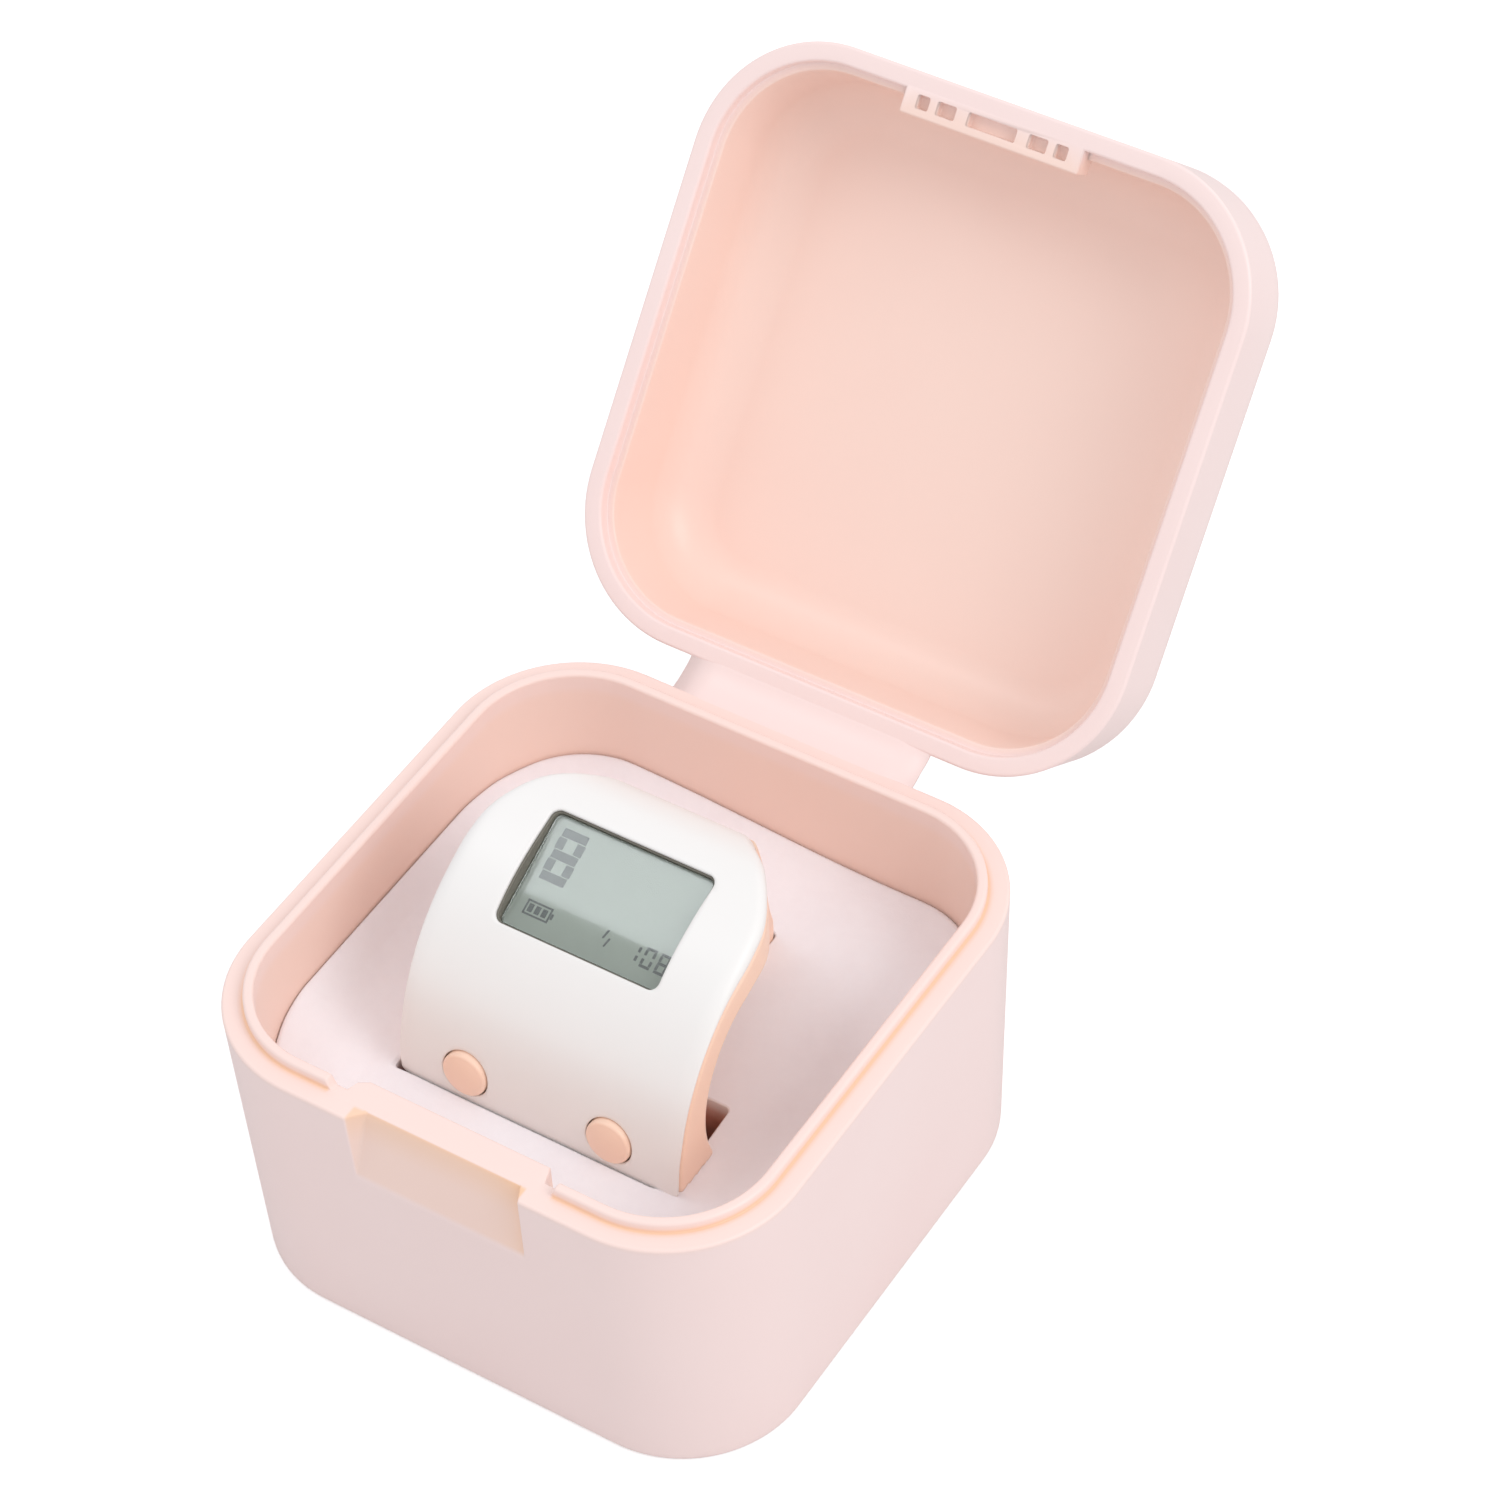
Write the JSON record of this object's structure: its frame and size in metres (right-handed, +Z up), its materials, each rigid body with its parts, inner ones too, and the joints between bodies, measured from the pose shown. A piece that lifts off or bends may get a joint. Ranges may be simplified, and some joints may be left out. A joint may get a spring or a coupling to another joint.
{
  "type": "smart counter ring",
  "caption": "Finger-worn electronic tally counter with a sloping display and push buttons, seated in the flocked insert of its hinged presentation case.",
  "frame": {"origin": "middle of the case's underside, on the surface that it stands on", "axes": "+X to the right along the hinge line, +Y from the latch to the hinge, +Z up"},
  "size_m": [0.052, 0.0955, 0.0703],
  "materials": {
    "case_plastic": "satin",
    "flock": "matte",
    "cover_plastic": "satin",
    "band_plastic": "satin",
    "black_foam": "matte",
    "clear_lens": "gloss",
    "display_glass": "gloss",
    "silver_film": "satin",
    "green_board": "satin",
    "black_resin": "matte",
    "bare_metal": "satin",
    "tungsten": "satin",
    "brass": "polished",
    "pouch_foil": "satin",
    "amber_film": "gloss"
  },
  "bodies": {
    "case": {"case_base": "case_plastic", "flocked_insert": "flock", "hinge_web": "case_plastic"},
    "lid": {"case_lid": "case_plastic"},
    "ring": {"ring_shell": "band_plastic", "ring_cover": "cover_plastic", "display_gasket": "black_foam", "display_lens": "clear_lens", "display_panel": "display_glass", "display_reflector": "silver_film", "display_ribbon": "amber_film", "main_board": "green_board", "controller_chip": "black_resin", "clock_crystal": "bare_metal", "battery": "pouch_foil", "board_screw_left": "bare_metal", "board_screw_right": "bare_metal", "button_board": "green_board", "board_link": "amber_film", "vibration_motor_can": "bare_metal", "switch_left": "black_resin", "charge_pin_left": "brass", "switch_right": "black_resin", "charge_pin_right": "brass"},
    "left_button": {"button_left": "band_plastic"},
    "right_button": {"button_right": "band_plastic"},
    "motor_weight": {"vibration_motor_rotor": "tungsten"}
  },
  "joints": [
    {"name": "lid_hinge", "type": "hinge", "parent": "case", "child": "lid", "pos_m": [0, 0.02793, 0.02822], "axis": [-1, 0, 0], "range_deg": [-128.9, 48], "deforming": ["hinge_web"]},
    {"name": "ring_lift", "type": "slide", "parent": "case", "child": "ring", "axis": [0, 0, 1], "range_m": [0, 0.028]},
    {"name": "left_button_press", "type": "slide", "parent": "ring", "child": "left_button", "axis": [0, 0.9903, -0.1392], "range_m": [0, 0.00035], "stiffness_N_per_m": 1500, "springref_m": -0.0003},
    {"name": "right_button_press", "type": "slide", "parent": "ring", "child": "right_button", "axis": [0, 0.9903, -0.1392], "range_m": [0, 0.00035], "stiffness_N_per_m": 1500, "springref_m": -0.0003},
    {"name": "motor_spin", "type": "hinge", "parent": "ring", "child": "motor_weight", "pos_m": [0.0005, -0.01052, 0.0224], "axis": [0, -0.9903, 0.1392], "continuous": true}
  ]
}
